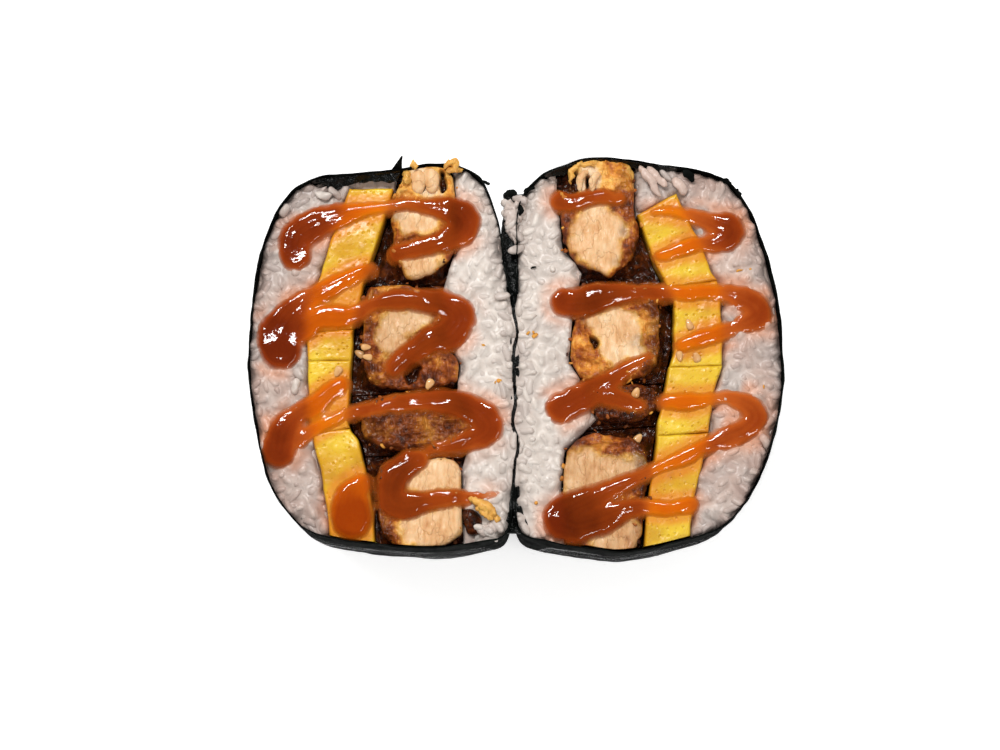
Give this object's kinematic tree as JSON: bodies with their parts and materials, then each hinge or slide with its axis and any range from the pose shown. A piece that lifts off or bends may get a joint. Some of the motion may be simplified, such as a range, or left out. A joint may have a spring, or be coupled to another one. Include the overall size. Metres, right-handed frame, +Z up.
{
  "type": "cut rice sandwich wrapped in seaweed",
  "caption": "Chicken and egg musubi cut through and opened, cut faces up: seaweed and clear film round layers of rice, omelette and fried chicken under a drizzle of sauce.",
  "frame": {"origin": "on the table, under the middle of the pair's bounding box", "axes": "+X across both halves, +Y towards the far side, +Z up out of the cut faces"},
  "size_m": [0.1402, 0.1052, 0.052],
  "materials": {
    "nori": "satin",
    "film": "gloss",
    "rice": "satin",
    "egg": "satin",
    "chicken": "satin",
    "sauce": "gloss",
    "sesame": "satin"
  },
  "bodies": {
    "root": {"nori_left": "nori", "nori_right": "nori", "clear_film": "film", "rice_outer_left": "rice", "rice_inner_left": "rice", "rice_outer_right": "rice", "rice_inner_right": "rice", "egg_left_1": "egg", "egg_left_2": "egg", "egg_left_3": "egg", "egg_left_4": "egg", "egg_right_1": "egg", "egg_right_2": "egg", "egg_right_3": "egg", "egg_right_4": "egg", "chicken_left_1": "chicken", "chicken_left_2": "chicken", "chicken_left_3": "chicken", "chicken_left_4": "chicken", "chicken_right_1": "chicken", "chicken_right_2": "chicken", "chicken_right_3": "chicken", "chicken_right_4": "chicken"}
  },
  "joints": []
}
